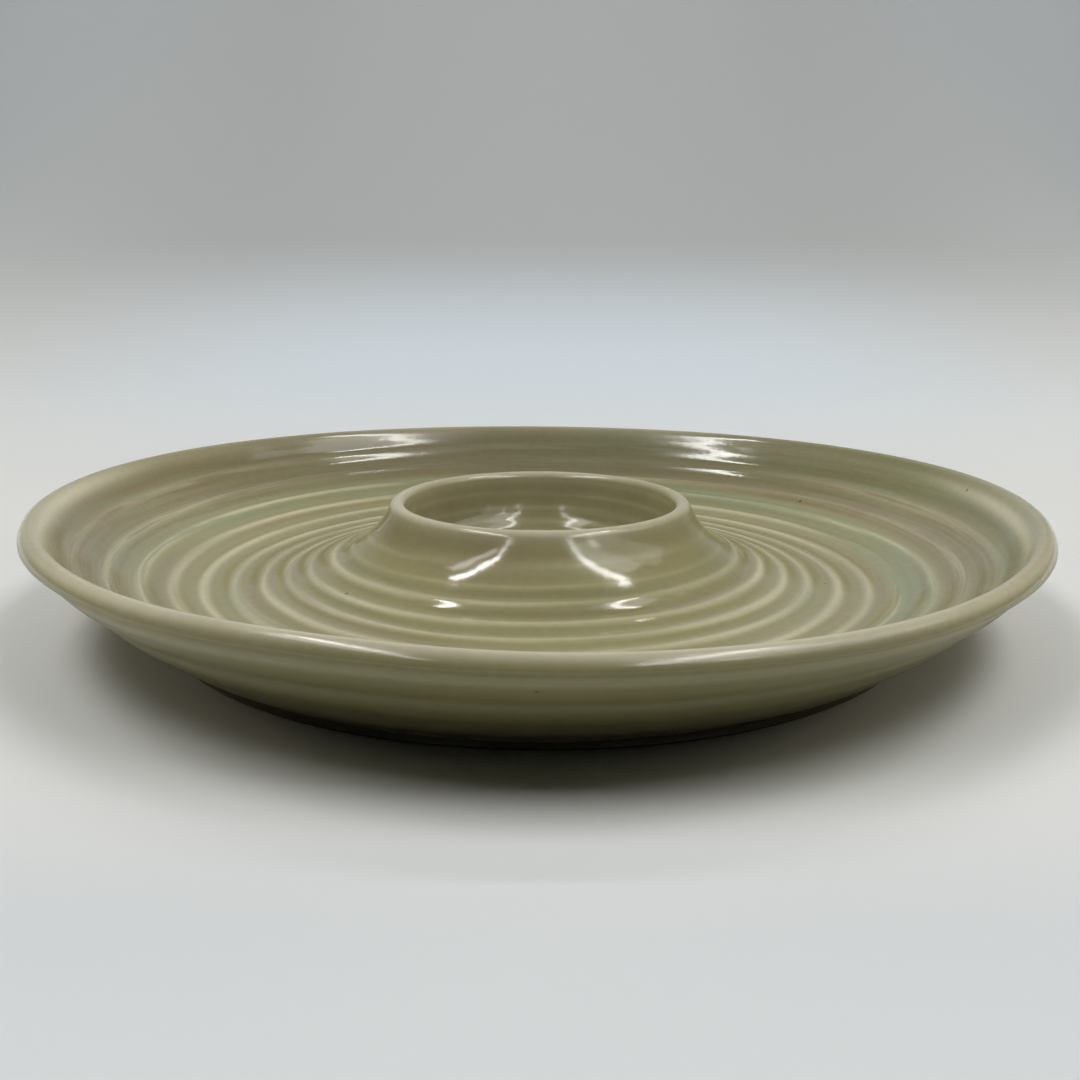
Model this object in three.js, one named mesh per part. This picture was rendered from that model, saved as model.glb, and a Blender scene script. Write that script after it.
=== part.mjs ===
// Chip and dip platter: a thrown stoneware plate with a flared dip cup luted to its middle
// and a low turned foot ring luted underneath. Millimetres, +Z up, foot on z = 0.
import * as THREE from 'three';

// Plate
const plateRadius = 146;
const rimHeight = 35.4;
const rimSaddle = 1.1;
const rimTilt = 0.6;
const rimOuterWidth = 3;
const rimOuterDepth = 3.6;
const rimInnerWidth = 3.65;
const rimInnerDepth = 3.27;
const rimInnerStart = Math.PI * 0.842;
const floorHeight = 11.2;
const floorRadius = 95;
const wallCurve = 1.5;
const wallKneeCurve = 10;
const wallKneeShare = 0.26;
const outerWallCurve = 0.8;
const recessDepth = 2.3;
const recessSlope = 4;

// Dip cup
const cupSeatRadius = 70;
const cupSeatDepth = 2.2;
const cupLipRadius = 42.8;
const cupLipDrop = 1.5;
const cupLipRoll = 2.2;
const cupLipOuterWidth = 2.6;
const cupLipOuterDepth = 2.4;
const cupLipOuterEnd = Math.PI * 0.118;
const cupSlopeCurve = 2.4;
const cupNeckCurve = 16;
const cupNeckShare = 0.235;
const cupFloorThickness = 3.6;
const wellCurve = 10;

// Foot ring
const footRadius = 109.5;
const footWidth = 10;
const footHeight = 1.8;
const footEdge = 0.5;
const footTaper = 0.6;
const footStep = 1;

// Luting slip and fit
const slipThickness = 0.4;
const cupClearance = 0.3;

// Throwing ridges: one spiral from the wall in to the cup, closer together on the cup
const ridgeHeight = 0.9;
const floorPitch = 8.3;
const cupPitch = 6.6;
const spiralStart = 133.7;
const closerRadius = 80;
const ridgeSharpness = 1.6;
const rimFade = 14;
const cupFade = 22;
const outerRidgeHeight = 0.5;
const outerRidges = 3;

// Facets
const turnSteps = 68;
const floorSteps = 36;
const cupSteps = 20;
const wellSteps = 9;
const outerSteps = 10;
const rollSteps = 4;

const glaze = new THREE.MeshStandardMaterial({ color: 0x99956f, roughness: 0.22, metalness: 0 });
const cupGlaze = new THREE.MeshStandardMaterial({ color: 0x9d9974, roughness: 0.22, metalness: 0 });
const bareClay = new THREE.MeshStandardMaterial({ color: 0xa58d6e, roughness: 0.85, metalness: 0 });
const luteClay = new THREE.MeshStandardMaterial({ color: 0x94805f, roughness: 0.9, metalness: 0 });

const rimCrestRadius = plateRadius - rimOuterWidth;
const wallTopRadius = rimCrestRadius + rimInnerWidth * Math.cos(rimInnerStart);
const wallTopHeight = rimHeight - rimInnerDepth * (1 - Math.sin(rimInnerStart));
const cupLipHeight = rimHeight - cupLipDrop;
const slopeTopRadius = cupLipRadius + cupLipOuterWidth * Math.cos(cupLipOuterEnd);
const slopeTopHeight = cupLipHeight - cupLipOuterDepth * (1 - Math.sin(cupLipOuterEnd));
const cupSeatHeight = floorHeight - cupSeatDepth;
const cupBaseHeight = cupSeatHeight + slipThickness;
const wellRadius = cupLipRadius - cupLipRoll;
const wellTopHeight = cupLipHeight - cupLipRoll;
const wellFloorHeight = cupBaseHeight + cupFloorThickness;
const footInnerRadius = footRadius - footWidth;
const outerWallFoot = footRadius - footStep;
const plateSeatHeight = footHeight + slipThickness;
const recessHeight = plateSeatHeight + recessDepth;

const point = (r, z) => new THREE.Vector2(r, z);

// The rim warped in drying: it stands higher at both sides, and most on the left, where the turn starts
function rimWarp(turn) {
  return rimSaddle * Math.cos(4 * Math.PI * turn) + rimTilt * Math.cos(2 * Math.PI * turn);
}

// Height of the spiral ridge above its valley; the turn runs 0 to 1 from the left side by the front
function spiralRidge(r, turn) {
  const wide = spiralStart - Math.max(r, closerRadius);
  const close = closerRadius - Math.min(r, closerRadius);
  const pitches = wide / floorPitch + close / cupPitch;
  const crest = 0.5 + 0.5 * Math.cos(2 * Math.PI * (pitches - turn));
  const nearRim = THREE.MathUtils.smoothstep(wallTopRadius - r, 0, rimFade);
  const nearCup = THREE.MathUtils.smoothstep(r - slopeTopRadius, 0, cupFade);
  return ridgeHeight * nearRim * nearCup * (crest ** ridgeSharpness - 0.5);
}

// Upper surface between the cup lip and the rim: a trough, lowest at floorRadius, steep at rim and cup
function upperHeight(r, turn) {
  const wall = Math.max(0, r - floorRadius) / (wallTopRadius - floorRadius);
  const slope = Math.max(0, floorRadius - r) / (floorRadius - slopeTopRadius);
  const bowl = (1 - wallKneeShare) * wall ** wallCurve + wallKneeShare * wall ** wallKneeCurve;
  const wallRise = (wallTopHeight + rimWarp(turn) - floorHeight) * bowl;
  const flare = (1 - cupNeckShare) * slope ** cupSlopeCurve + cupNeckShare * slope ** cupNeckCurve;
  const slopeRise = (slopeTopHeight - floorHeight) * flare;
  return floorHeight + wallRise + slopeRise + spiralRidge(r, turn);
}

function upperRun(fromRadius, toRadius, steps, turn) {
  const run = [];
  for (let i = 0; i <= steps; i += 1) {
    const r = THREE.MathUtils.lerp(fromRadius, toRadius, i / steps);
    run.push(point(r, upperHeight(r, turn)));
  }
  return run;
}

// Rolled edge: part of an ellipse with its crest at the radius and height given; its first point is left out
function roll(crestRadius, crestHeight, width, depth, fromAngle, toAngle) {
  const run = [];
  for (let i = 1; i <= rollSteps; i += 1) {
    const angle = THREE.MathUtils.lerp(fromAngle, toAngle, i / rollSteps);
    run.push(point(crestRadius + width * Math.cos(angle), crestHeight - depth * (1 - Math.sin(angle))));
  }
  return run;
}

// Bellied outside wall from under the rim down to the foot, with soft ridges
function outerWall(top) {
  const run = [];
  for (let i = 1; i <= outerSteps; i += 1) {
    const up = 1 - i / outerSteps;
    const swell = outerRidgeHeight * Math.sin(Math.PI * up) * Math.sin(2 * Math.PI * outerRidges * up);
    const r = THREE.MathUtils.lerp(outerWallFoot, plateRadius, up ** outerWallCurve);
    run.push(point(r + swell, THREE.MathUtils.lerp(plateSeatHeight, top, up)));
  }
  return run;
}

// Closed body from outlines running clockwise (top, outside, underneath), one outline per turn step
function turnedSolid(outlineAt) {
  const outlines = [];
  for (let j = 0; j < turnSteps; j += 1) {
    outlines.push(outlineAt(j / turnSteps));
  }
  const count = outlines[0].length;
  const onAxis = outlines[0][0].x === 0;
  const positions = [];
  const index = [];
  const place = (i, j) => (onAxis && (i === 0 || i === count - 1) ? i : i + (j % turnSteps) * count);
  outlines.forEach((outline, j) => {
    const angle = Math.PI + (2 * Math.PI * j) / turnSteps;
    outline.forEach((p) => positions.push(p.x * Math.cos(angle), p.x * Math.sin(angle), p.y));
  });
  const bands = onAxis ? count - 1 : count;
  for (let j = 0; j < turnSteps; j += 1) {
    for (let i = 0; i < bands; i += 1) {
      const next = (i + 1) % count;
      const [a, b, c, d] = [place(i, j), place(next, j), place(next, j + 1), place(i, j + 1)];
      if (a !== d) {
        index.push(a, b, d);
      }
      if (b !== c) {
        index.push(b, c, d);
      }
    }
  }
  const geometry = new THREE.BufferGeometry();
  geometry.setAttribute('position', new THREE.Float32BufferAttribute(positions, 3));
  geometry.setIndex(index);
  return geometry.toNonIndexed();
}

function plateOutline(turn) {
  const seatEdge = cupSeatRadius + cupClearance;
  const crestHeight = rimHeight + rimWarp(turn);
  return [
    point(0, cupSeatHeight),
    point(seatEdge, cupSeatHeight),
    ...upperRun(seatEdge, wallTopRadius, floorSteps, turn),
    ...roll(rimCrestRadius, crestHeight, rimInnerWidth, rimInnerDepth, rimInnerStart, Math.PI / 2),
    ...roll(rimCrestRadius, crestHeight, rimOuterWidth, rimOuterDepth, Math.PI / 2, 0),
    ...outerWall(crestHeight - rimOuterDepth),
    point(footInnerRadius, plateSeatHeight),
    point(footInnerRadius - recessSlope, recessHeight),
    point(0, recessHeight),
  ];
}

function cupOutline(turn) {
  const well = [point(0, wellFloorHeight)];
  for (let i = 1; i <= wellSteps; i += 1) {
    const reach = Math.sin((Math.PI / 2) * (i / wellSteps));
    const rise = (wellTopHeight - wellFloorHeight) * reach ** wellCurve;
    well.push(point(wellRadius * reach, wellFloorHeight + rise));
  }
  return [
    ...well,
    ...roll(cupLipRadius, cupLipHeight, cupLipRoll, cupLipRoll, Math.PI, Math.PI / 2),
    ...roll(cupLipRadius, cupLipHeight, cupLipOuterWidth, cupLipOuterDepth, Math.PI / 2, cupLipOuterEnd),
    ...upperRun(slopeTopRadius, cupSeatRadius, cupSteps, turn).slice(1),
    point(cupSeatRadius, cupBaseHeight),
    point(0, cupBaseHeight),
  ];
}

const footOutline = () => [
  point(footInnerRadius, footHeight),
  point(footRadius - footTaper, footHeight),
  point(footRadius, footEdge),
  point(footRadius - footEdge, 0),
  point(footInnerRadius + footEdge, 0),
  point(footInnerRadius, footEdge),
];

const cupSlipOutline = () => [
  point(0, cupBaseHeight),
  point(cupSeatRadius, cupBaseHeight),
  point(cupSeatRadius, cupSeatHeight),
  point(0, cupSeatHeight),
];

const footSlipOutline = () => [
  point(footInnerRadius, plateSeatHeight),
  point(outerWallFoot, plateSeatHeight),
  point(outerWallFoot, footHeight),
  point(footInnerRadius, footHeight),
];

const platter = new THREE.Group();
platter.name = 'chip_and_dip_platter';

function add(name, outlineAt, material) {
  const mesh = new THREE.Mesh(turnedSolid(outlineAt), material);
  mesh.name = name;
  platter.add(mesh);
}

add('platter', plateOutline, glaze);
add('dip_cup', cupOutline, cupGlaze);
add('foot_ring', footOutline, bareClay);
add('cup_slip_joint', cupSlipOutline, luteClay);
add('foot_slip_joint', footSlipOutline, luteClay);

export default platter;
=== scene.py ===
import math

import bmesh
import bpy
from mathutils import Matrix, Vector, noise


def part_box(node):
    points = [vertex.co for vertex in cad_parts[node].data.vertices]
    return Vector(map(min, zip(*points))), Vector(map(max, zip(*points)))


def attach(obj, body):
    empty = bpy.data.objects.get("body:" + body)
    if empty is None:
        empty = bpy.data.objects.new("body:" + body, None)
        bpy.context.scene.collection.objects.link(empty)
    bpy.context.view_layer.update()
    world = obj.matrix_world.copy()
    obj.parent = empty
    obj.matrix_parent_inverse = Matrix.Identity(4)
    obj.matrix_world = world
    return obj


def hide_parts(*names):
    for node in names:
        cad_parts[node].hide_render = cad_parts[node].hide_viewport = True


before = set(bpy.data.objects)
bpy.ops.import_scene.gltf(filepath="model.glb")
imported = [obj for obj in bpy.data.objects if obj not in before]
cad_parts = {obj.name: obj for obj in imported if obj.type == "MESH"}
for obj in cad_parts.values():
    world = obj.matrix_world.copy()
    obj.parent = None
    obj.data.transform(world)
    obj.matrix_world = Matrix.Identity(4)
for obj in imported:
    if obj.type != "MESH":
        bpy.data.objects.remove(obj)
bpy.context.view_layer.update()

scene = bpy.context.scene
print("frame loaded")

# where the CAD pieces are, metres
plateLow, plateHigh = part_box("platter")
cupLow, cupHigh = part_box("dip_cup")
footLow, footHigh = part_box("foot_ring")
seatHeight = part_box("cup_slip_joint")[0].z  # the plate's seat for the cup
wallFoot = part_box("foot_slip_joint")[1].x  # radius where the outside wall meets the foot

# the rim warped in drying: higher at both sides, most on the left, with local bends (angle, width, rise)
drying = {"saddle": 0.0011, "tilt": 0.0006, "bends": ((-1.90, 0.26, 0.0010), (-0.85, 0.40, -0.0008))}
# and it was pressed in a little at the right, and less at the left, both towards the front
press = {"depth": 0.0115, "reach": (0.112, plateHigh.x), "forward": 0.43, "narrow": 6, "leftShare": 0.35}

# rolled edges: width and depth of each roll, and the angle where it meets the surface between them
rim = {"outer": (0.003, 0.0036), "inner": (0.00365, 0.00327), "meets": math.pi * 0.842}
lip = {
    "radius": 0.0428, "drop": 0.0015,
    "outer": (0.0026, 0.0024), "inner": (0.0022, 0.0022), "meets": math.pi * 0.118,
}

# the surface that the plate and the cup share, lowest at floorRadius
surface = {
    "floorRadius": 0.095, "floorHeight": 0.0112, "clearance": 0.0003,
    "wallCurve": 1.5, "kneeCurve": 10.0, "kneeShare": 0.26,
    "slopeCurve": 2.4, "neckCurve": 16.0, "neckShare": 0.235,
}
zones = {"upper": 1, "edge": 2, "outer": 3, "under": 4, "well": 5}


def smoothStep(low, high, value):
    t = min(1.0, max(0.0, (value - low) / (high - low)))
    return t * t * (3.0 - 2.0 * t)


def hump(value, middle, width):
    # 1 in the middle, fading out on both sides
    return math.exp(-(((value - middle) / width) ** 2))


def wave(phase):
    # 1 on whole numbers, 0 halfway between them
    return 0.5 + 0.5 * math.cos(2.0 * math.pi * phase)


def rollPoint(crest, roll, angle):
    # a point on an ellipse whose top is the crest
    width, depth = roll
    return crest[0] + width * math.cos(angle), crest[1] - depth * (1.0 - math.sin(angle))


def rollPoints(crest, roll, start, end, steps):
    # a rolled edge without its first point
    points = []
    for i in range(1, steps + 1):
        points.append((*rollPoint(crest, roll, start + (end - start) * i / steps), "edge"))
    return points


# radius and height of the crests and of the places where they meet the surface, before the rim warped
rimCrest = (plateHigh.x - rim["outer"][0], plateHigh.z - drying["saddle"] - drying["tilt"])
lipCrest = (lip["radius"], rimCrest[1] - lip["drop"])
wallTop, wallTopHeight = rollPoint(rimCrest, rim["inner"], rim["meets"])
slopeTop, slopeTopHeight = rollPoint(lipCrest, lip["outer"], lip["meets"])
browHeight = rimCrest[1] - rim["outer"][1]  # where the outside wall starts under the rim
jointRadius = cupHigh.x + surface["clearance"] / 2.0


def wallShare(r):
    # 0 on the floor, 1 where the wall meets the rim
    s = surface
    wall = max(0.0, r - s["floorRadius"]) / (wallTop - s["floorRadius"])
    return (1.0 - s["kneeShare"]) * wall ** s["wallCurve"] + s["kneeShare"] * wall ** s["kneeCurve"]


def meanHeight(r):
    # height of the shared surface without its ridges
    s = surface
    slope = max(0.0, s["floorRadius"] - r) / (s["floorRadius"] - slopeTop)
    flare = (1.0 - s["neckShare"]) * slope ** s["slopeCurve"] + s["neckShare"] * slope ** s["neckCurve"]
    wallRise = (wallTopHeight - s["floorHeight"]) * wallShare(r)
    return s["floorHeight"] + wallRise + (slopeTopHeight - s["floorHeight"]) * flare


# one spiral of throwing ridges; each pitch holds from its radius inwards
spiral = {
    "start": 0.1337, "floorPitch": 0.0083, "closer": 0.080, "cupPitch": 0.0066,
    "neck": 0.066, "neckPitch": 0.0075, "steep": 0.0595, "steepPitch": 0.0050,
    "right": 0.0008, "rightReach": (0.065, 0.090),  # how far it lies off the axis, on the floor
    "back": 0.0013, "backReach": (0.090, 0.080),  # and round the cup
}


def ridgePhase(x, y, r, turn):
    # whole numbers lie on the crest
    s = spiral
    right = s["right"] * smoothStep(*s["rightReach"], r)
    back = s["back"] * smoothStep(*s["backReach"], r)
    reach = math.hypot(x - right, y - back)
    wide = (s["start"] - max(reach, s["closer"])) / s["floorPitch"]
    close = (s["closer"] - min(max(reach, s["neck"]), s["closer"])) / s["cupPitch"]
    flare = (s["neck"] - min(max(reach, s["steep"]), s["neck"])) / s["neckPitch"]
    steep = (s["steep"] - min(reach, s["steep"])) / s["steepPitch"]
    return wide + close + flare + steep - turn


# relief of the spiral: lower on the cup, under the rim and at both ends, and uneven by hand
ridge = {
    "height": 0.00085, "blunt": 0.07, "level": 0.3, "wander": 0.3, "wanderScale": 14.0, "wanderLayer": 3.0,
    "cupShare": 0.85, "cupReach": (0.070, 0.090), "rimShare": 0.7, "rimFade": 0.018,
    "slopeShare": 0.08, "slopeReach": (0.0555, 0.0635), "endFade": 0.004,
    "cupRing": 0.0600, "cupRingWidth": 0.0035, "cupRingRise": 1.55,  # the lowest ridge of the cup
    "leftLess": 0.30, "left": (0.0, -0.02),
    "farRise": 0.6, "far": (0.05, 0.09), "farWall": (0.114, 0.120),
}


def ridgeStrength(r):
    # 1 where the spiral is plainest, 0 at its ends
    d = ridge
    rimPart = d["rimShare"] + (1.0 - d["rimShare"]) * smoothStep(0.0, d["rimFade"], wallTop - r)
    slopePart = d["slopeShare"] + (1.0 - d["slopeShare"]) * smoothStep(*d["slopeReach"], r)
    ends = smoothStep(0.0, d["endFade"], wallTop - r) * smoothStep(0.0, d["endFade"], r - slopeTop)
    return rimPart * slopePart * ends


def ridgeRise(x, y, r, phase):
    # height of the spiral above the mean surface, below it in the valleys
    d = ridge
    height = d["height"] * ridgeStrength(r)
    height *= d["cupShare"] + (1.0 - d["cupShare"]) * smoothStep(*d["cupReach"], r)
    cupRise = d["cupRingRise"] - d["leftLess"] * smoothStep(*d["left"], x)
    height *= 1.0 + cupRise * hump(r, d["cupRing"], d["cupRingWidth"])
    height *= 1.0 + d["farRise"] * smoothStep(*d["far"], y) * smoothStep(*d["farWall"], r)
    scale = d["wanderScale"]
    height *= 1.0 + d["wander"] * noise.noise(Vector((x * scale, y * scale, d["wanderLayer"])))
    # hollow valleys that meet in a narrow crest
    scallop = 1.0 - math.sqrt(math.sin(math.pi * phase) ** 2 + d["blunt"])
    return height * (scallop - d["level"])


# fine rings on the wall and one thin ring on its far side
wallRings = {
    "height": 0.00012, "pitch": 0.0038, "reach": (0.122, 0.130), "topFade": 0.002,
    "farRise": 0.8, "far": (0.04, 0.09), "bare": 0.22,
    "thinHeight": 0.0006, "thinShift": 0.0006, "thinWidth": 0.0009, "thinFar": (0.05, 0.09),
}
# how bare of glaze the crests are, and painted shade in the middle in front of the cup: less pale crests and
# darker valleys there
crestGlaze = {
    "width": 0.20, "frontWiden": 0.09, "front": (0.0, -0.05), "slope": 0.34, "slopeReach": (0.046, 0.048),
    "crestMiddleShade": 0.32, "middle": (0.06, 0.02), "middleOut": (0.090, 0.080), "middleIn": (0.062, 0.064),
    "valleyShade": 0.5, "valleyShadeOut": (0.068, 0.063), "valleyShadeIn": (0.050, 0.054),
    "valleyShadeMiddle": (0.045, 0.012), "valleyShadeFront": (0.0, -0.02),
}


def upperRidges(x, y, r, turn):
    # rise of a point on the shared surface, and how thin its glaze is
    w, c = wallRings, crestGlaze
    phase = ridgePhase(x, y, r, turn)
    rings = wave((spiral["start"] - r) / w["pitch"] - turn)
    rings *= smoothStep(*w["reach"], r) * smoothStep(wallTop, wallTop - w["topFade"], r)
    thinRing = hump(r, spiral["start"] - spiral["floorPitch"] * turn + w["thinShift"], w["thinWidth"])
    rise = ridgeRise(x, y, r, phase)
    rise += w["height"] * rings * (1.0 + w["farRise"] * smoothStep(*w["far"], y))
    rise += w["thinHeight"] * thinRing * smoothStep(*w["thinFar"], y)

    offCrest = (phase + 0.5) % 1.0 - 0.5
    width = c["width"]
    if offCrest > 0.0:  # the side towards the cup
        width += c["frontWiden"] * smoothStep(*c["front"], y)
    onCrest = hump(offCrest, 0.0, width)
    bare = max(ridgeStrength(r), c["slope"] * smoothStep(*c["slopeReach"], r))
    # painted shade in the middle in front of the cup: crests less pale there, valleys darker
    inFront = smoothStep(*c["middleOut"], r) * smoothStep(*c["middleIn"], r)
    bare *= 1.0 - c["crestMiddleShade"] * smoothStep(*c["middle"], abs(x)) * inFront
    valleyShade = smoothStep(*c["valleyShadeOut"], r) * smoothStep(*c["valleyShadeIn"], r)
    valleyShade *= smoothStep(*c["valleyShadeMiddle"], abs(x)) * smoothStep(*c["valleyShadeFront"], y) * (1.0 - onCrest)
    return rise, bare * onCrest + w["bare"] * rings - c["valleyShade"] * valleyShade


wellRings = {
    "height": 0.00035, "pitch": 0.0062, "wallFade": (0.0405, 0.034), "middle": (0.004, 0.012),
    "bare": 0.5, "top": (0.0320, 0.0300),
}


def wellRidges(r, z, turn):
    # the same for the dip well
    w = wellRings
    rings = wave((r + z) / w["pitch"] - turn)
    off = smoothStep(*w["middle"], r)
    rise = w["height"] * smoothStep(*w["wallFade"], r) * off * (2.0 * rings - 1.0)
    return rise, w["bare"] * off * smoothStep(*w["top"], z) * rings ** 2


# pale bands on the outside wall, by height
outerRings = {"pitch": 0.010, "shift": 0.7}
# reach of the thin glaze on the rim and the lip, the least and what the sides add
edgeGlaze = {
    "inside": (0.0045, 0.0015), "outside": (0.0026, 0.0014), "sideLess": 0.55, "axis": 0.001,
    "farLess": 0.80, "far": (-0.02, 0.06), "farthestMore": 0.30, "farthest": (0.11, 0.14),
    "lip": 0.0031, "lipFarLess": 0.15, "lipFar": (0.0, 0.04), "dullWall": (0.0340, 0.0312),
    "crestMargin": 0.000001,  # the crest of the rim itself counts as outside
}
# two pale lines along the rim, plainest at the sides: painted light, a painted reflection on the inner roll
# and a painted brightening of the outer roll
rimHighlightLines = {
    "outer": 0.1447, "outerWidth": 0.0010, "outerShare": 0.6, "outerHeight": (0.0312, 0.0326),
    "inner": 0.1391, "innerWidth": 0.0013, "innerLean": 0.0008, "innerHeight": (0.0262, 0.0286),
}


def edgeValues(x, y, z, r):
    # how thin the glaze is at the rim and the lip, and how plain the painted highlight lines are
    e, p = edgeGlaze, rimHighlightLines
    side = x / max(r, e["axis"])
    least, more = e["inside"] if r < rimCrest[0] else e["outside"]
    rimGap = math.hypot(r - rimCrest[0], z - rimCrest[1])
    lipGap = math.hypot(r - lipCrest[0], z - lipCrest[1])
    covered = 1.0 - e["farLess"] * smoothStep(*e["far"], y)
    covered += e["farthestMore"] * smoothStep(*e["farthest"], y)
    rimEdge = hump(rimGap, 0.0, least + more * side ** 2) * covered * (1.0 - e["sideLess"] * side ** 2)
    lipEdge = hump(lipGap, 0.0, e["lip"]) * (1.0 - e["lipFarLess"] * smoothStep(*e["lipFar"], y))
    outerLine = p["outerShare"] * hump(r, p["outer"], p["outerWidth"]) * smoothStep(*p["outerHeight"], z)
    innerLine = hump(r, p["inner"] - p["innerLean"] * side, p["innerWidth"])
    innerLine *= smoothStep(*p["innerHeight"], z)
    return max(rimEdge, lipEdge), side ** 2 * covered * max(outerLine, innerLine)


def pressShare(angle, r):
    # what is left of a radius after the pressing
    p = press
    right = max(0.0, math.cos(angle + p["forward"])) ** p["narrow"]
    left = max(0.0, -math.cos(angle - p["forward"])) ** p["narrow"]
    return 1.0 - p["depth"] * smoothStep(*p["reach"], r) * (right + p["leftShare"] * left)


def dryingRise(zone, angle, r, z):
    # all of the warp at the rim, less down the wall, none on the floor
    share = 0.0
    if zone == zones["upper"]:
        share = wallShare(r)
    elif zone == zones["edge"] and r > surface["floorRadius"]:
        share = 1.0
    elif zone == zones["outer"]:
        share = max(0.0, z - plateLow.z) / (browHeight - plateLow.z)
    warp = drying["saddle"] * math.cos(2.0 * angle) - drying["tilt"] * math.cos(angle)
    for middle, width, rise in drying["bends"]:
        warp += rise * hump(angle, middle, width)
    return share * warp


# sockets of the glaze and the attributes that feed them
glazeValues = {
    "Crest": "crest", "Thin Edge": "thinEdge", "Outer": "outer", "Rim Highlight": "rimHighlight",
    "Dull Wall": "dullWall",
}


def throw(bm):
    # raises the ridges, leaves the values that the glaze reads, and lets the hand show
    layers = {label: bm.verts.layers.float.new(name) for label, name in glazeValues.items()}
    zoneLayer = bm.verts.layers.int["zone"]
    for vert in bm.verts:
        x, y, z = vert.co
        r = math.hypot(x, y)
        angle = math.atan2(y, x)
        turn = ((angle - math.pi) / (2.0 * math.pi)) % 1.0
        zone = vert[zoneLayer]
        rise, crest = 0.0, 0.0
        if zone == zones["upper"]:
            rise, crest = upperRidges(x, y, r, turn)
        elif zone == zones["well"]:
            rise, crest = wellRidges(r, z, turn)
        elif zone == zones["outer"]:
            crest = wave(z / outerRings["pitch"] - turn - outerRings["shift"]) ** 2
        outside = zone in (zones["outer"], zones["under"]) or r > rimCrest[0] - edgeGlaze["crestMargin"]
        vert[layers["Crest"]] = crest
        vert[layers["Thin Edge"]], vert[layers["Rim Highlight"]] = edgeValues(x, y, z, r)
        vert[layers["Outer"]] = 1.0 if outside else 0.0
        vert[layers["Dull Wall"]] = smoothStep(*edgeGlaze["dullWall"], z) if outside else 0.0
        squeeze = pressShare(angle, r)
        vert.co = (x * squeeze, y * squeeze, z + rise + dryingRise(zone, angle, r, z))


def eased(outline, first, last, passes):
    # rounds the inside corner of a stretch of outline
    for _ in range(passes):
        moved = list(outline)
        for i in range(first, last):
            r = (outline[i - 1][0] + 2.0 * outline[i][0] + outline[i + 1][0]) / 4.0
            z = (outline[i - 1][1] + 2.0 * outline[i][1] + outline[i + 1][1]) / 4.0
            moved[i] = (r, z, outline[i][2])
        outline = moved
    return outline


turning = {"steps": 320, "slipSteps": 160, "merge": 1e-7, "sharp": 0.7}


def turned(outline, closed, steps):
    # spins an outline of (radius, height, zone) about the throwing axis
    bm = bmesh.new()
    zoneLayer = bm.verts.layers.int.new("zone")
    verts = []
    for r, z, zone in outline:
        vert = bm.verts.new((-r, 0.0, z))
        vert[zoneLayer] = zones[zone]
        verts.append(vert)
    edges = [bm.edges.new(pair) for pair in zip(verts, verts[1:])]
    if closed:
        edges.append(bm.edges.new((verts[-1], verts[0])))
    bmesh.ops.spin(bm, geom=verts + edges, cent=(0, 0, 0), axis=(0, 0, 1), dvec=(0, 0, 0),
                   angle=2.0 * math.pi, steps=steps, use_merge=True, use_duplicate=False)
    bmesh.ops.remove_doubles(bm, verts=bm.verts, dist=turning["merge"])
    bmesh.ops.recalc_face_normals(bm, faces=bm.faces)
    for edge in bm.edges:
        edge.smooth = edge.calc_face_angle(0.0) < turning["sharp"]
    for face in bm.faces:
        face.smooth = True
    return bm


def finishPiece(name, bm, material, node):
    mesh = bpy.data.meshes.new(name)
    bm.to_mesh(mesh)
    bm.free()
    piece = bpy.data.objects.new(name, mesh)
    scene.collection.objects.link(piece)
    mesh.materials.append(material)
    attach(piece, "root")
    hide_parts(node)
    return piece


nodeRows = {"columns": 12, "left": -2600.0, "right": 200.0, "down": 280.0}


def addNode(tree, kind, **values):
    # nodes stand in rows, in the order they are made
    node = tree.nodes.new(kind)
    row, column = divmod(len(tree.nodes), nodeRows["columns"])
    node.location = (nodeRows["left"] + nodeRows["right"] * column, -nodeRows["down"] * row)
    for key, value in values.items():
        if hasattr(node, key):
            setattr(node, key, value)
        else:
            node.inputs[key].default_value = value
    return node


def feed(tree, value, socket):
    # the value is another node's output or a plain one
    if hasattr(value, "is_linked"):
        tree.links.new(value, socket)
    else:
        socket.default_value = value


def mathNode(tree, operation, *values):
    node = addNode(tree, "ShaderNodeMath", operation=operation)
    for value, socket in zip(values, node.inputs):
        feed(tree, value, socket)
    return node.outputs[0]


def rangeNode(tree, value, low, high, toLow=0.0, toHigh=1.0):
    node = addNode(tree, "ShaderNodeMapRange", interpolation_type="SMOOTHSTEP")
    feed(tree, value, node.inputs["Value"])
    for key, number in zip(("From Min", "From Max", "To Min", "To Max"), (low, high, toLow, toHigh)):
        node.inputs[key].default_value = number
    return node.outputs["Result"]


def mixColour(tree, factor, first, second):
    node = addNode(tree, "ShaderNodeMix", data_type="RGBA")
    for value, index in ((factor, 0), (first, 6), (second, 7)):  # the Mix node's sockets for colour
        feed(tree, value, node.inputs[index])
    return node.outputs[2]


def noiseNode(tree, vector, scale, detail, roughness):
    node = addNode(tree, "ShaderNodeTexNoise", Scale=scale, Detail=detail, Roughness=roughness)
    tree.links.new(vector, node.inputs["Vector"])
    return node.outputs[0]


def objectPlace(tree):
    # a point's place, and its X, Y and Z
    place = addNode(tree, "ShaderNodeTexCoord").outputs["Object"]
    split = addNode(tree, "ShaderNodeSeparateXYZ")
    tree.links.new(place, split.inputs[0])
    return place, split.outputs["X"], split.outputs["Y"], split.outputs["Z"]


def linear(red, green, blue):
    # a tone as a screen shows it, 0 to 255, in the shader's linear values
    def channel(value):
        value /= 255.0
        return value / 12.92 if value <= 0.04045 else ((value + 0.055) / 1.055) ** 2.4
    return (channel(red), channel(green), channel(blue), 1.0)


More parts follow.
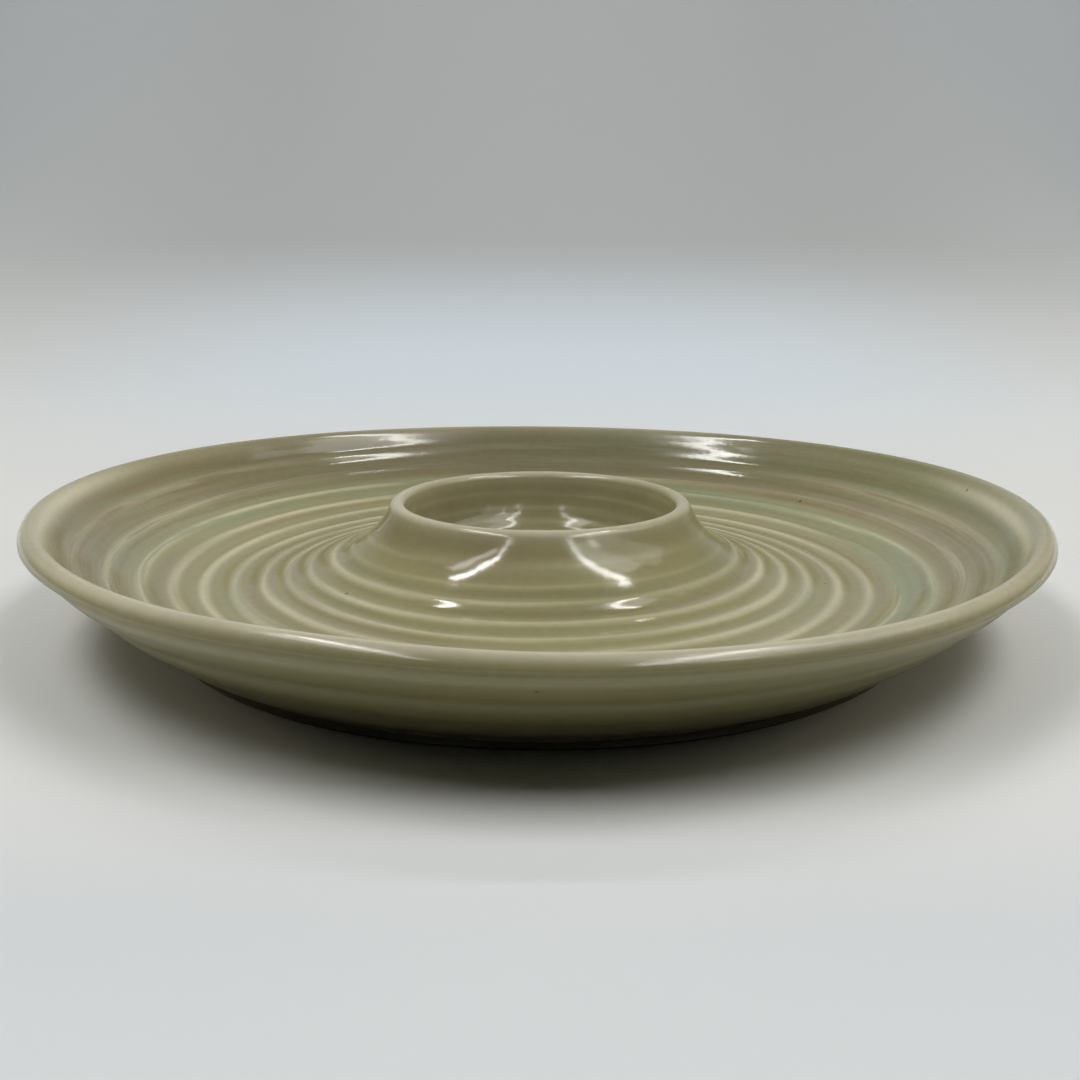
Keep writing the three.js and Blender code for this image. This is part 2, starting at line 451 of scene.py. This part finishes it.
# tones, then where each lies: from, to and the amounts there
glaze = {
    "valley": linear(151, 145, 106), "crest": linear(197, 191, 158), "edge": linear(208, 202, 178),
    # pale is the tone of the painted highlight lines on the rim
    "pale": linear(222, 216, 192), "pool": linear(138, 146, 114), "tint": linear(137, 124, 97),
    # darkTone is the painted shade on the far wall and in the valleys in front of the cup, and darkens the
    # dip well
    "moss": linear(126, 130, 93), "outer": linear(107, 99, 44), "darkTone": linear(117, 113, 88),
    # foot is the tone of the painted shade low on the outside wall
    "foot": linear(66, 60, 34), "speck": linear(70, 55, 35),
    "crestRange": (0.0, 1.1), "crestStreak": 0.45, "valleyShade": (-0.02, -0.50, 0.0, 0.42),
    "axis": 0.01, "bandLean": 0.0045,  # the bands lie a little farther in on the right
    "poolFrom": (0.105, 0.110), "poolTo": (0.1225, 0.118), "poolStreak": (0.36, 0.58, 0.0, 0.72),
    "mossFrom": (0.129, 0.133), "mossSide": (-0.35, 0.30), "mossShare": 0.9,
    "mossDrift": (0.46, 0.34, 0.0, 0.40),
    "tintFrom": (0.119, 0.1235), "tintShare": 0.75, "tintDrift": (0.52, 0.66, 0.0, 0.45),
    "patchy": (0.30, 0.60, 0.45, 1.0),
    "linesFrom": (0.112, 0.124), "tintLines": (0.50, 0.64, 0.0, 0.55),
    "poolLines": (0.47, 0.34, 0.0, 0.55),
    # farShade is painted shade on the far wall; wellDarker makes the dip well darker
    "farShade": (0.03, 0.12, 0.22, 0.68), "farShadeFrom": (0.116, 0.128),
    "wellDarker": (0.0412, 0.0390, 0.0, 0.22),
    # outerShare browns the outside and darkens it in part as painted shade; footShade is painted shade
    # towards the foot
    "outerShare": 0.60, "footShade": (0.032, 0.004, 0.0, 0.70),
    "worn": (0.2, 0.6, 0.7, 1.0), "edgeRightLess": (0.3, 1.0, 1.0, 0.62),
    "edgeMiddleLess": (0.02, 0.07, 0.78, 1.0),
    # the last range makes the glaze paler out to both sides, a painted sheen
    "paleShare": 0.75, "grain": (0.3, 0.7, 0.97, 1.03), "sideSheen": (0.03, 0.11, 0.97, 1.07),
    "speckScale": 95.0, "speckRare": 0.93, "speckSize": (0.075, 0.03), "speckShare": 0.7,
    # scale and detail of each noise
    "wheelScale": 240.0, "noiseRoughness": 0.55,
    "wheelNoises": {"streak": (1.6, 3.0), "drift": (0.55, 2.0), "lines": (3.2, 2.0)},
    "evenNoises": {"broad": (22.0, 2.0), "fine": (420.0, 3.0), "ripple": (210.0, 2.0)},
    "sheen": (0.3, 0.7, 0.088, 0.1485), "edgeRoughness": 0.10, "outerRoughness": 0.26,
    "fineShare": 0.12, "bumpStrength": 0.14, "bumpDepth": 0.0003, "refraction": 1.5,
}


def glazePlaces(tree):
    place, x, y, z = objectPlace(tree)
    squares = [mathNode(tree, "MULTIPLY", axis, axis) for axis in (x, y)]
    radius = mathNode(tree, "SQRT", mathNode(tree, "ADD", *squares))
    side = mathNode(tree, "DIVIDE", x, mathNode(tree, "MAXIMUM", radius, glaze["axis"]))
    return {
        "place": place, "y": y, "z": z, "radius": radius, "side": side,
        "across": mathNode(tree, "ABSOLUTE", x), "angle": mathNode(tree, "ARCTAN2", y, x),
        "band": mathNode(tree, "MULTIPLY_ADD", side, glaze["bandLean"], radius),
    }


def glazeNoises(tree, at):
    # streaks follow the wheel: fine along the radius, long round the turn
    wheel = addNode(tree, "ShaderNodeCombineXYZ")
    tree.links.new(mathNode(tree, "MULTIPLY", at["radius"], glaze["wheelScale"]), wheel.inputs["X"])
    tree.links.new(mathNode(tree, "SINE", at["angle"]), wheel.inputs["Y"])
    tree.links.new(mathNode(tree, "COSINE", at["angle"]), wheel.inputs["Z"])
    noises = {}
    for vector, kinds in ((wheel.outputs[0], "wheelNoises"), (at["place"], "evenNoises")):
        for label, (scale, detail) in glaze[kinds].items():
            noises[label] = noiseNode(tree, vector, scale, detail, glaze["noiseRoughness"])
    return noises


def glazeSpecks(tree, at):
    # few dark specks, one in some of the cells
    cells = addNode(tree, "ShaderNodeTexVoronoi", Scale=glaze["speckScale"], Randomness=1.0)
    tree.links.new(at["place"], cells.inputs["Vector"])
    chance = addNode(tree, "ShaderNodeSeparateColor")
    tree.links.new(cells.outputs["Color"], chance.inputs[0])
    rare = mathNode(tree, "GREATER_THAN", chance.outputs[0], glaze["speckRare"])
    speck = rangeNode(tree, cells.outputs["Distance"], *glaze["speckSize"])
    return mathNode(tree, "MULTIPLY", mathNode(tree, "MULTIPLY", rare, speck), glaze["speckShare"])


def glazeTone(tree, values, at, noises):
    def times(first, *others):
        for other in others:
            first = mathNode(tree, "MULTIPLY", first, other)
        return first

    def most(first, second):
        return mathNode(tree, "MAXIMUM", first, second)

    def rest(value):
        return mathNode(tree, "SUBTRACT", 1.0, value)

    def along(value, label):
        return rangeNode(tree, value, *glaze[label])

    def coat(body, tone, *shares):
        return mixColour(tree, times(*shares), body, glaze[tone])

    streak, drift, lines = noises["streak"], noises["drift"], noises["lines"]
    inside = rest(values["Outer"])
    covered = times(inside, rest(values["Thin Edge"]))
    # pale crests, and painted shade in the valleys in the middle in front of the cup
    streaked = times(mathNode(tree, "SUBTRACT", streak, 0.5), glaze["crestStreak"])
    crest = along(mathNode(tree, "ADD", values["Crest"], streaked), "crestRange")
    body = mixColour(tree, crest, glaze["valley"], glaze["crest"])
    body = coat(body, "darkTone", along(values["Crest"], "valleyShade"))
    # the pool at the foot of the wall, brown and moss-green stains above it
    pool = times(along(at["band"], "poolFrom"), along(at["band"], "poolTo"), along(streak, "poolStreak"))
    body = coat(body, "pool", pool, covered)
    mossy = times(along(at["radius"], "mossFrom"), along(at["side"], "mossSide"))
    stained = times(along(at["band"], "tintFrom"), rest(mossy))
    patchy = along(streak, "patchy")
    tint = most(times(stained, glaze["tintShare"]), along(drift, "tintDrift"))
    moss = most(times(mossy, glaze["mossShare"]), along(drift, "mossDrift"))
    body = coat(body, "tint", tint, patchy, covered)
    body = coat(body, "moss", moss, patchy, covered)
    # fine brown and sage lines that the wheel left on the wall
    onWall = times(along(at["radius"], "linesFrom"), covered)
    body = coat(body, "tint", onWall, along(lines, "tintLines"))
    body = coat(body, "pool", onWall, along(lines, "poolLines"))
    # painted shade, darker on the far wall; and darker in the dip well
    body = coat(body, "darkTone", along(at["y"], "farShade"), along(at["radius"], "farShadeFrom"), inside)
    body = coat(body, "darkTone", along(at["radius"], "wellDarker"))
    # the outside is browner, and darker in part as painted shade, with more painted shade towards the foot
    body = coat(body, "outer", values["Outer"], glaze["outerShare"])
    body = coat(body, "foot", along(at["z"], "footShade"), values["Outer"])
    # thin edges, less so in the middle and at the right
    worn = times(along(noises["broad"], "worn"), along(at["side"], "edgeRightLess"))
    worn = times(worn, along(at["across"], "edgeMiddleLess"))
    body = coat(body, "edge", values["Thin Edge"], worn)
    # painted highlight lines along the rim, plainest at the sides
    body = coat(body, "pale", values["Rim Highlight"], glaze["paleShare"])
    # a fine grain, and a little paler out to both sides: a painted sheen from the lamps at the sides
    shade = addNode(tree, "ShaderNodeVectorMath", operation="SCALE")
    grain = times(along(noises["fine"], "grain"), along(at["across"], "sideSheen"))
    tree.links.new(body, shade.inputs[0])
    tree.links.new(grain, shade.inputs["Scale"])
    return coat(shade.outputs[0], "speck", glazeSpecks(tree, at))


def glazeGroup():
    # celadon: thin and pale on crests and edges, deep olive in valleys, blue-green where it pools
    tree = bpy.data.node_groups.new("celadonGlaze", "ShaderNodeTree")
    for label in glazeValues:
        tree.interface.new_socket(label, in_out="INPUT", socket_type="NodeSocketFloat")
    tree.interface.new_socket("Base Color", in_out="OUTPUT", socket_type="NodeSocketColor")
    tree.interface.new_socket("Roughness", in_out="OUTPUT", socket_type="NodeSocketFloat")
    tree.interface.new_socket("Height", in_out="OUTPUT", socket_type="NodeSocketFloat")
    values = addNode(tree, "NodeGroupInput").outputs
    results = addNode(tree, "NodeGroupOutput").inputs
    at = glazePlaces(tree)
    noises = glazeNoises(tree, at)
    tree.links.new(glazeTone(tree, values, at, noises), results["Base Color"])
    # duller on thin edges and on the outside wall
    sheen = rangeNode(tree, noises["broad"], *glaze["sheen"])
    dull = mathNode(tree, "MULTIPLY", values["Thin Edge"], glaze["edgeRoughness"])
    dull = mathNode(tree, "MULTIPLY_ADD", values["Dull Wall"], glaze["outerRoughness"], dull)
    tree.links.new(mathNode(tree, "ADD", sheen, dull), results["Roughness"])
    height = mathNode(tree, "MULTIPLY_ADD", noises["fine"], glaze["fineShare"], noises["ripple"])
    tree.links.new(height, results["Height"])
    return tree


def newMaterial(name):
    material = bpy.data.materials.new(name)
    material.use_nodes = True
    tree = material.node_tree
    return material, tree, tree.nodes["Principled BSDF"].inputs


def addBump(tree, height, strength, depth, shader):
    bump = addNode(tree, "ShaderNodeBump", Strength=strength, Distance=depth)
    tree.links.new(height, bump.inputs["Height"])
    tree.links.new(bump.outputs["Normal"], shader["Normal"])


def glazeMaterial(name, group):
    material, tree, shader = newMaterial(name)
    shader["IOR"].default_value = glaze["refraction"]
    look = addNode(tree, "ShaderNodeGroup", node_tree=group)
    for label, attribute in glazeValues.items():
        reader = addNode(tree, "ShaderNodeAttribute", attribute_name=attribute)
        tree.links.new(reader.outputs["Fac"], look.inputs[label])
    tree.links.new(look.outputs["Base Color"], shader["Base Color"])
    tree.links.new(look.outputs["Roughness"], shader["Roughness"])
    addBump(tree, look.outputs["Height"], glaze["bumpStrength"], glaze["bumpDepth"], shader)
    return material


clay = {
    "base": linear(176, 150, 116), "dark": linear(138, 112, 82), "darkFrom": (0.35, 0.7),
    "grog": (900.0, 4.0, 0.7), "roughness": (0.3, 0.7, 0.72, 0.92), "bumpStrength": 0.5, "bumpDepth": 0.0002,
}


def clayMaterial(name):
    material, tree, shader = newMaterial(name)
    place = addNode(tree, "ShaderNodeTexCoord").outputs["Object"]
    grog = noiseNode(tree, place, *clay["grog"])
    toned = mixColour(tree, rangeNode(tree, grog, *clay["darkFrom"]), clay["base"], clay["dark"])
    tree.links.new(toned, shader["Base Color"])
    tree.links.new(rangeNode(tree, grog, *clay["roughness"]), shader["Roughness"])
    addBump(tree, grog, clay["bumpStrength"], clay["bumpDepth"], shader)
    return material


celadon = glazeGroup()
plateGlaze = glazeMaterial("plateGlaze", celadon)
cupGlaze = glazeMaterial("cupGlaze", celadon)
bareClay = clayMaterial("bareClay")
luteClay = clayMaterial("luteClay")
print("materials made")

foot = {"width": 0.010, "edge": 0.0005, "taper": 0.0006, "roundShare": 0.3, "baseFacing": -0.5}
footInner = footHigh.x - foot["width"]  # the plate and the slip above the ring share it

plate = {
    "wallCurve": 0.8, "softRidge": 0.0005, "softRidges": 3, "recessDepth": 0.0023, "recessSlope": 0.004,
    "floorSteps": 150, "rollSteps": 12, "wallSteps": 48,
    "easedBefore": 4, "easedAfter": 8, "easedPasses": 20,
}


def plateOutline():
    p = plate
    recess = plateLow.z + p["recessDepth"]
    outline = [(0.0, seatHeight, "under"), (jointRadius, seatHeight, "under")]
    for i in range(p["floorSteps"] + 1):
        r = jointRadius + (wallTop - jointRadius) * i / p["floorSteps"]
        outline.append((r, meanHeight(r), "upper"))
    outline += rollPoints(rimCrest, rim["inner"], rim["meets"], math.pi / 2, p["rollSteps"])
    outline += rollPoints(rimCrest, rim["outer"], math.pi / 2, 0.0, p["rollSteps"])
    for i in range(1, p["wallSteps"] + 1):
        up = 1.0 - i / p["wallSteps"]
        swell = p["softRidge"] * math.sin(math.pi * up) * math.sin(2.0 * math.pi * p["softRidges"] * up)
        r = wallFoot + (plateHigh.x - wallFoot) * up ** p["wallCurve"]
        outline.append((r + swell, plateLow.z + (browHeight - plateLow.z) * up, "outer"))
    corner = p["floorSteps"]  # near where the wall meets the rim
    outline = eased(outline, corner - p["easedBefore"], corner + p["easedAfter"], p["easedPasses"])
    outline.append((footInner, plateLow.z, "under"))
    outline.append((footInner - p["recessSlope"], recess, "under"))
    outline.append((0.0, recess, "under"))
    return outline


plateMesh = turned(plateOutline(), False, turning["steps"])
throw(plateMesh)
plateBody = finishPiece("plateBody", plateMesh, plateGlaze, "platter")
print("plate made", len(plateBody.data.polygons))

cup = {
    "floorThickness": 0.0036, "wellCurve": 10.0, "wellSteps": 44, "innerSteps": 10, "outerSteps": 12,
    "slopeSteps": 80, "slopeSpacing": 1.3,
}


def cupOutline():
    c = cup
    wellFloor = cupLow.z + c["floorThickness"]
    wellRadius = lipCrest[0] - lip["inner"][0]
    wellRise = lipCrest[1] - lip["inner"][1] - wellFloor
    outline = [(0.0, wellFloor, "well")]
    for i in range(1, c["wellSteps"] + 1):
        reach = math.sin(math.pi / 2 * i / c["wellSteps"])
        outline.append((wellRadius * reach, wellFloor + wellRise * reach ** c["wellCurve"], "well"))
    outline += rollPoints(lipCrest, lip["inner"], math.pi, math.pi / 2, c["innerSteps"])
    outline += rollPoints(lipCrest, lip["outer"], math.pi / 2, lip["meets"], c["outerSteps"])
    for i in range(1, c["slopeSteps"] + 1):
        r = slopeTop + (jointRadius - slopeTop) * (i / c["slopeSteps"]) ** c["slopeSpacing"]
        outline.append((r, meanHeight(r), "upper"))
    outline.append((jointRadius, cupLow.z, "under"))
    outline.append((0.0, cupLow.z, "under"))
    return outline


cupMesh = turned(cupOutline(), False, turning["steps"])
throw(cupMesh)
cupBody = finishPiece("cupBody", cupMesh, cupGlaze, "dip_cup")
print("cup made", len(cupBody.data.polygons))


def footOutline():
    f = foot
    radius, low, high = footHigh.x, footLow.z, footHigh.z
    rounding = f["edge"] * f["roundShare"]
    corners = (
        (footInner, high), (radius - f["taper"], high), (radius, low + f["edge"]),
        (radius - rounding, low + rounding), (radius - f["edge"], low), (footInner + f["edge"], low),
        (footInner, low + f["edge"]),
    )
    return [(r, z, "under") for r, z in corners]


footMesh = turned(footOutline(), True, turning["steps"])
throw(footMesh)
for face in footMesh.faces:
    face.material_index = 1 if face.normal.z > foot["baseFacing"] else 0  # the base is wiped bare
footRing = finishPiece("footRing", footMesh, bareClay, "foot_ring")
footRing.data.materials.append(plateGlaze)  # glaze runs down the sides


def slipOutline(node, inner):
    low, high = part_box(node)
    corners = ((inner, high.z), (high.x, high.z), (high.x, low.z), (inner, low.z))
    return [(r, z, "under") for r, z in corners]


# node and inner radius of each layer of slip
slips = {"cupSlip": ("cup_slip_joint", 0.0), "footSlip": ("foot_slip_joint", footInner)}
for name, (node, inner) in slips.items():
    slipMesh = turned(slipOutline(node, inner), inner > 0.0, turning["slipSteps"])
    finishPiece(name, slipMesh, luteClay, node)
print("foot ring and slip joints made")

# paper sweep: floor, bend and backdrop, with its tones and where each lies; the tones are painted light and
# shade: darker and cooler at the front, paler and bluer far off in the middle, darker high up in the middle
sweep = {
    "near": -1.2, "bend": 0.55, "bendRadius": 1.3, "bendSteps": 32, "top": 2.4, "half": 2.6,
    "paper": linear(224, 225, 224), "front": linear(215, 219, 221), "frontFrom": (-0.13, -0.19),
    "far": linear(230, 240, 250), "farFrom": (0.1, 0.7),
    "farSide": linear(222, 224, 226), "farAside": (0.1, 0.6),
    "high": linear(195, 198, 199), "highFrom": (0.002, 0.120),
    "highSide": linear(220, 225, 226), "highAside": (0.30, 0.85),
    "roughness": 0.9, "specular": 0.1,
}


def sweepPaper():
    s = sweep
    material, tree, shader = newMaterial("sweepPaper")
    x, y, z = objectPlace(tree)[1:]
    across = mathNode(tree, "ABSOLUTE", x)
    # painted light and shade on the paper, by place
    floor = mixColour(tree, rangeNode(tree, y, *s["frontFrom"]), s["paper"], s["front"])
    far = mixColour(tree, rangeNode(tree, across, *s["farAside"]), s["far"], s["farSide"])
    high = mixColour(tree, rangeNode(tree, across, *s["highAside"]), s["high"], s["highSide"])
    tone = mixColour(tree, rangeNode(tree, y, *s["farFrom"]), floor, far)
    tone = mixColour(tree, rangeNode(tree, z, *s["highFrom"]), tone, high)
    tree.links.new(tone, shader["Base Color"])
    shader["Roughness"].default_value = s["roughness"]
    shader["Specular IOR Level"].default_value = s["specular"]
    return material


def makeSweep():
    s = sweep
    bm = bmesh.new()
    line = [(s["near"], 0.0), (s["bend"], 0.0)]
    for i in range(1, s["bendSteps"] + 1):
        angle = math.pi / 2 * i / s["bendSteps"]
        y = s["bend"] + s["bendRadius"] * math.sin(angle)
        line.append((y, s["bendRadius"] * (1.0 - math.cos(angle))))
    line.append((s["bend"] + s["bendRadius"], s["top"]))
    verts = [bm.verts.new((-s["half"], y, z)) for y, z in line]
    edges = [bm.edges.new(pair) for pair in zip(verts, verts[1:])]
    made = bmesh.ops.extrude_edge_only(bm, edges=edges)["geom"]
    farVerts = [item for item in made if isinstance(item, bmesh.types.BMVert)]
    bmesh.ops.translate(bm, verts=farVerts, vec=(2.0 * s["half"], 0, 0))
    for face in bm.faces:
        face.smooth = True
    mesh = bpy.data.meshes.new("sweep")
    bm.to_mesh(mesh)
    bm.free()
    floor = bpy.data.objects.new("sweep", mesh)
    scene.collection.objects.link(floor)
    mesh.materials.append(sweepPaper())


makeSweep()

# keys, fills and the wash only light, the other cards only show as highlights; turns in degrees
lights = {"visible_glossy": False}
shows = {"visible_diffuse": False}
white = (1.0, 1.0, 1.0)
warm = (1.0, 0.93, 0.70)
lamps = {
    "leftKey": {"place": (-0.50, -0.33, 1.02), "size": (0.40, 0.76), "power": 6.6, "use": lights},
    "rightKey": {"place": (0.50, -0.33, 1.02), "size": (0.40, 0.76), "power": 6.6, "use": lights},
    "leftStrip": {"place": (-0.45, -0.20, 0.95), "size": (0.06, 0.84), "power": 4.0, "use": shows},
    "rightStrip": {"place": (0.44, -0.20, 0.95), "size": (0.06, 0.84), "power": 4.0, "use": shows},
    "leftFront": {
        "place": (-0.52, -1.02, 0.95), "turn": (0, 0, -8.5), "size": (0.06, 0.82), "power": 2.0,
        "use": shows},
    "rightFront": {
        "place": (0.51, -1.02, 0.95), "turn": (0, 0, 8.5), "size": (0.06, 0.82), "power": 2.8,
        "use": shows},
    "leftPanel": {"place": (-0.63, -0.425, 0.97), "size": (0.10, 0.95), "power": 1.75, "use": shows},
    "rightPanel": {"place": (0.70, -0.56, 0.97), "size": (0.32, 1.32), "power": 3.8, "use": shows},
    "rightPanelEnd": {"place": (1.24, -0.435, 0.97), "size": (0.76, 1.57), "power": 4.9, "use": shows},
    "rightRim": {
        "place": (0.92, -1.05, 0.95), "turn": (0, 0, 12), "size": (0.08, 0.40), "power": 1.1,
        "use": shows},
    "leftFill": {
        "place": (-1.1, 0.45, 0.28), "turn": (0, -90, -24), "size": (0.5, 0.5), "power": 3.3,
        "colour": warm, "use": lights},
    "rightFill": {
        "place": (1.1, 0.45, 0.28), "turn": (0, 90, 24), "size": (0.5, 0.5), "power": 4.3,
        "colour": warm, "use": lights},
    "backdropWash": {
        "place": (0.0, 0.75, 1.5), "turn": (40, 0, 0), "size": (1.6, 0.3), "power": 10.5,
        "use": lights},
}
for name, lamp in lamps.items():
    light = bpy.data.lights.new(name, "AREA")
    light.shape = "RECTANGLE"
    light.size, light.size_y = lamp["size"]
    light.energy = lamp["power"]
    light.color = lamp.get("colour", white)
    holder = bpy.data.objects.new(name, light)
    holder.location = lamp["place"]
    holder.rotation_euler = [math.radians(value) for value in lamp.get("turn", (0, 0, 0))]
    for flag, value in lamp["use"].items():
        setattr(holder, flag, value)
    scene.collection.objects.link(holder)

# the camera sees a pale room beyond the paper, which lights nothing
room = {"light": (0.80, 0.86, 0.93, 1.0), "strength": 0.008, "seen": linear(195, 198, 199)}
world = bpy.data.worlds.new("room")
world.use_nodes = True
roomTree = world.node_tree
roomLight = roomTree.nodes["Background"]
roomLight.inputs["Color"].default_value = room["light"]
roomLight.inputs["Strength"].default_value = room["strength"]
roomSeen = addNode(roomTree, "ShaderNodeBackground", Color=room["seen"], Strength=1.0)
roomPath = addNode(roomTree, "ShaderNodeLightPath")
roomMix = addNode(roomTree, "ShaderNodeMixShader")
roomTree.links.new(roomPath.outputs["Is Camera Ray"], roomMix.inputs[0])
roomTree.links.new(roomLight.outputs[0], roomMix.inputs[1])
roomTree.links.new(roomSeen.outputs[0], roomMix.inputs[2])
roomTree.links.new(roomMix.outputs[0], roomTree.nodes["World Output"].inputs["Surface"])
scene.world = world
scene.view_settings.view_transform = "Standard"

# the photograph's camera: metres, radians, and its focal length and width in pixels
view = {
    "distance": 0.35328, "height": 0.1080, "pitch": 0.2422, "roll": 0.0044,
    "focal": 1195.24, "width": 1080.0, "sensor": 36.0, "nearest": 0.01,
}
lens = bpy.data.cameras.new("photoCamera")
lens.sensor_width = view["sensor"]
lens.lens = view["focal"] / view["width"] * view["sensor"]
lens.clip_start = view["nearest"]
camera = bpy.data.objects.new("photoCamera", lens)
camera.location = (0.0, -view["distance"], view["height"])
aim = Matrix.Rotation(math.pi / 2 - view["pitch"], 3, "X") @ Matrix.Rotation(view["roll"], 3, "Z")
camera.rotation_euler = aim.to_euler()
scene.collection.objects.link(camera)
scene.camera = camera
print("stage made")
